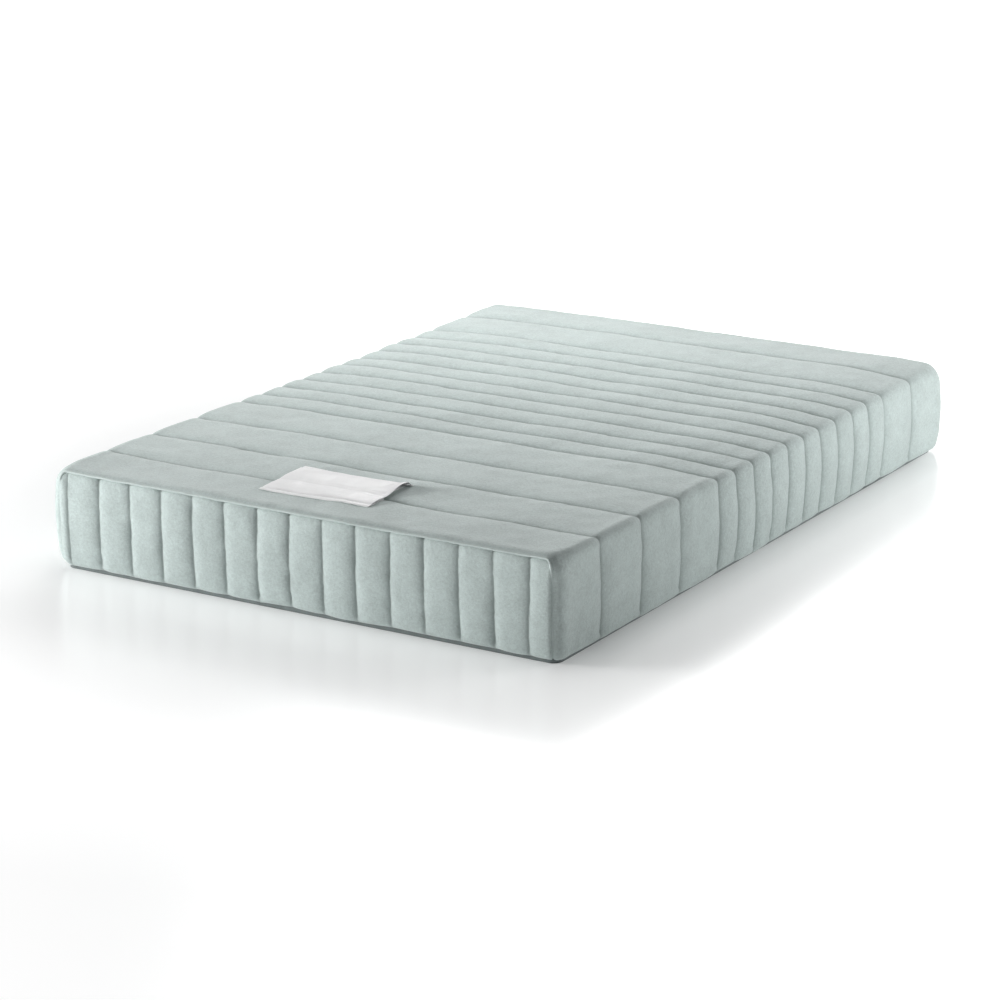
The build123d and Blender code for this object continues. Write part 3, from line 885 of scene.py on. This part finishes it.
back_piece = shell("label_back_cloth", bottom_high, bottom_low)
front_piece = shell("label_front_cloth", front_high, front_low)
place_piece(back_piece, "label_back", LABEL)
place_piece(front_piece, "label_front", LABEL)
lines = []
for column in SEWN:
    line = front_high[3:-3, column] + np.array([0, 0, 0.0001])
    lines.append((line, np.tile([0.0, 0.0, 1.0], (len(line), 1))))
place_piece(stitches("label_stitches", lines, 0.0036, 0.0027, 0.00022), "label_thread",
            LABEL_THREAD)

# ------------------------------------------------------------ floor, light and camera
FLOOR, FLOOR_Z = 40.0, -0.0004               # half its width, and its height just under the base
floor_corners = np.array([[-FLOOR, -FLOOR, FLOOR_Z], [FLOOR, -FLOOR, FLOOR_Z],
                          [FLOOR, FLOOR, FLOOR_Z], [-FLOOR, FLOOR, FLOOR_Z]])
floor = finish_mesh("floor", floor_corners, [[0, 1, 2, 3]])
made, tree, shader, place = material("floor_gloss_painted_glow")
tree.links.new(blend(tree, noise(tree, place, 2.0), (0.90, 0.905, 0.905), (0.93, 0.935, 0.935)),
               shader.inputs["Base Color"])
shader.inputs["Roughness"].default_value = 0.20
shader.inputs["Specular IOR Level"].default_value = 0.28
shader.inputs["Emission Color"].default_value = (1, 1, 1, 1)
# Painted light: it glows more away from the mattress, in two stages, so that it is painted darker near
# it, and less close along the two long sides, a painted contact shadow.
away = tree.nodes.new("ShaderNodeVectorMath")
away.operation = "LENGTH"
tree.links.new(place, away.inputs[0])
near_glow = ramp(tree, away.outputs["Value"], 1.15, 1.75, 0.275, 0.590)
far_glow = ramp(tree, away.outputs["Value"], 2.4, 5.0, 0.0, 0.45)
glow = sums(tree, near_glow, far_glow)
axes = tree.nodes.new("ShaderNodeSeparateXYZ")
tree.links.new(place, axes.inputs[0])
# Painted contact shadow: less glow close along the two long sides, within the mattress's length.
beside = ramp(tree, sums(tree, axes.outputs["X"], 0, "ABSOLUTE"), W + 0.01, W + 0.10, 0.16, 0.0)
painted_shadow_along = ramp(tree, sums(tree, axes.outputs["Y"], 0, "ABSOLUTE"), L - 0.15, L + 0.05, 1.0, 0.0)
glow = sums(tree, glow, sums(tree, beside, painted_shadow_along, "MULTIPLY"), "SUBTRACT")
tree.links.new(glow, shader.inputs["Emission Strength"])
floor.data.materials.append(made)

scene = bpy.context.scene
world = bpy.data.worlds.new("studio")
world.use_nodes = True
world.node_tree.nodes["Background"].inputs["Color"].default_value = (1.0, 1.0, 1.0, 1)
world.node_tree.nodes["Background"].inputs["Strength"].default_value = 0.005
scene.world = world
scene.view_settings.view_transform = "Standard"


def softbox(name, place, target, size, power):
    """A rectangular light at a place, turned towards its target, with its power in watts."""
    lamp = bpy.data.lights.new(name, "AREA")
    lamp.shape = "RECTANGLE"
    lamp.size, lamp.size_y = size
    lamp.energy = power
    holder = bpy.data.objects.new(name, lamp)
    holder.location = place
    holder.rotation_euler = (Vector(target) - Vector(place)).to_track_quat("-Z", "Y").to_euler()
    scene.collection.objects.link(holder)


softbox("over_left", (-0.50, 0.80, 1.3), (-0.50, 0.80, 0.24), (0.9, 0.6), 8.2)
softbox("over_middle", (0.05, -0.45, 2.2), (0.05, -0.45, 0.24), (1.5, 1.1), 9)
softbox("left_near", (-2.8, -1.6, 1.2), (-0.6, -0.9, 0.12), (1.2, 0.8), 15.6)
softbox("left_grazing", (-5.0, -2.4, 1.2), (-0.4, -0.95, 0.12), (1.6, 1.2), 10)
softbox("left_front", (-4.6, -3.4, 1.2), (-0.4, -0.95, 0.12), (1.6, 1.2), 242)
softbox("front_left_high", (-3.2, -5.0, 2.6), (-0.3, -0.9, 0.15), (2.0, 1.6), 27)
softbox("right_far", (2.3, 1.3, 0.8), (0.67, 0.75, 0.1), (1.2, 0.8), 28)
softbox("right_middle", (2.5, 0.5, 0.9), (0.67, 0.3, 0.1), (1.2, 0.8), 4)
softbox("floor_back", (-4.0, 9.5, 4.5), (-5.0, 9.0, 0), (8, 6), 870)

CAMERA_AT = (4.0425, -6.5712, 2.3803)
YAW, PITCH, ROLL = math.radians(-31.99), math.radians(17.05), math.radians(-0.61)
ahead = Vector((math.sin(YAW) * math.cos(PITCH), math.cos(YAW) * math.cos(PITCH), -math.sin(PITCH)))
right = ahead.cross(Vector((0, 0, 1))).normalized()
up = right.cross(ahead)
turned_right = right * math.cos(ROLL) + up * math.sin(ROLL)
turned_up = up * math.cos(ROLL) - right * math.sin(ROLL)
lens = bpy.data.cameras.new("camera")
lens.sensor_width = 36
lens.lens = 118.9
lens.clip_end = 60
camera = bpy.data.objects.new("camera", lens)
turned = Matrix((turned_right, turned_up, -ahead)).transposed().to_4x4()
camera.matrix_world = Matrix.Translation(CAMERA_AT) @ turned
scene.collection.objects.link(camera)
scene.camera = camera
